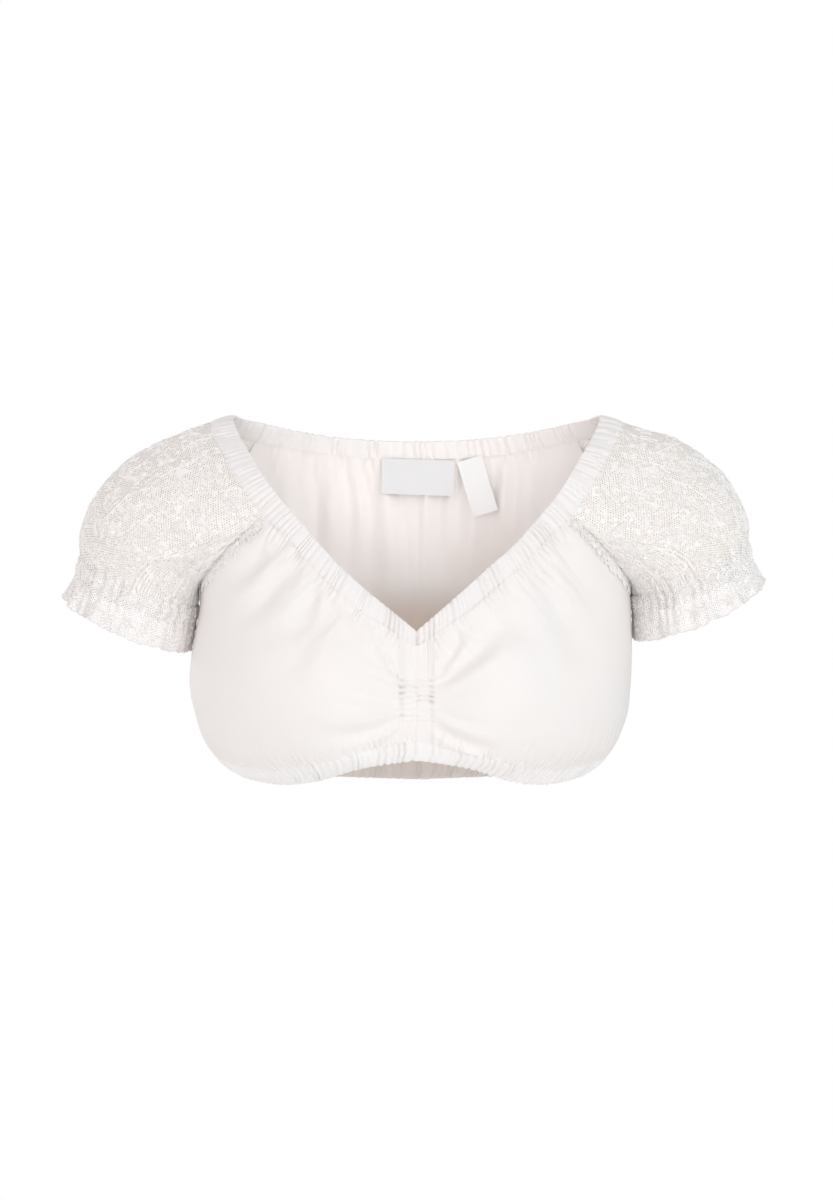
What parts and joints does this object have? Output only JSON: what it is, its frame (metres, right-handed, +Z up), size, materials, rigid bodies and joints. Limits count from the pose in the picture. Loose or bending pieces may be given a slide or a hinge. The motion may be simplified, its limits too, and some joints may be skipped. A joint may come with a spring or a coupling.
{
  "type": "dirndl blouse",
  "caption": "Cropped blouse with a deep V neck, gathered centre front, short lace puff sleeves, ruffled cuffs and elastic casings, in its worn hollow form.",
  "frame": {"origin": "midway between the two shoulder tops, where the wearer carries the blouse", "axes": "+X to the wearer's left, -Y out of the front, +Z up"},
  "size_m": [0.4931, 0.2096, 0.2595],
  "materials": {
    "cotton": "fine plain-weave cotton, soft white",
    "lace": "corded floral embroidery on fine net, soft white",
    "label": "bare woven satin, white"
  },
  "bodies": {
    "root": {"front_right": "cotton", "front_left": "cotton", "centre_ruche": "cotton", "back": "cotton", "neck_casing_front_right": "cotton", "neck_casing_front_left": "cotton", "neck_casing_shoulder_right": "cotton", "neck_casing_shoulder_left": "cotton", "neck_casing_back": "cotton", "hem_casing_front": "cotton", "hem_casing_back": "cotton", "sleeve_right": "lace", "sleeve_left": "lace", "cuff_casing_right": "lace", "cuff_casing_left": "lace", "cuff_ruffle_right": "lace", "cuff_ruffle_left": "lace", "label_brand": "label", "label_size": "label"}
  },
  "joints": []
}
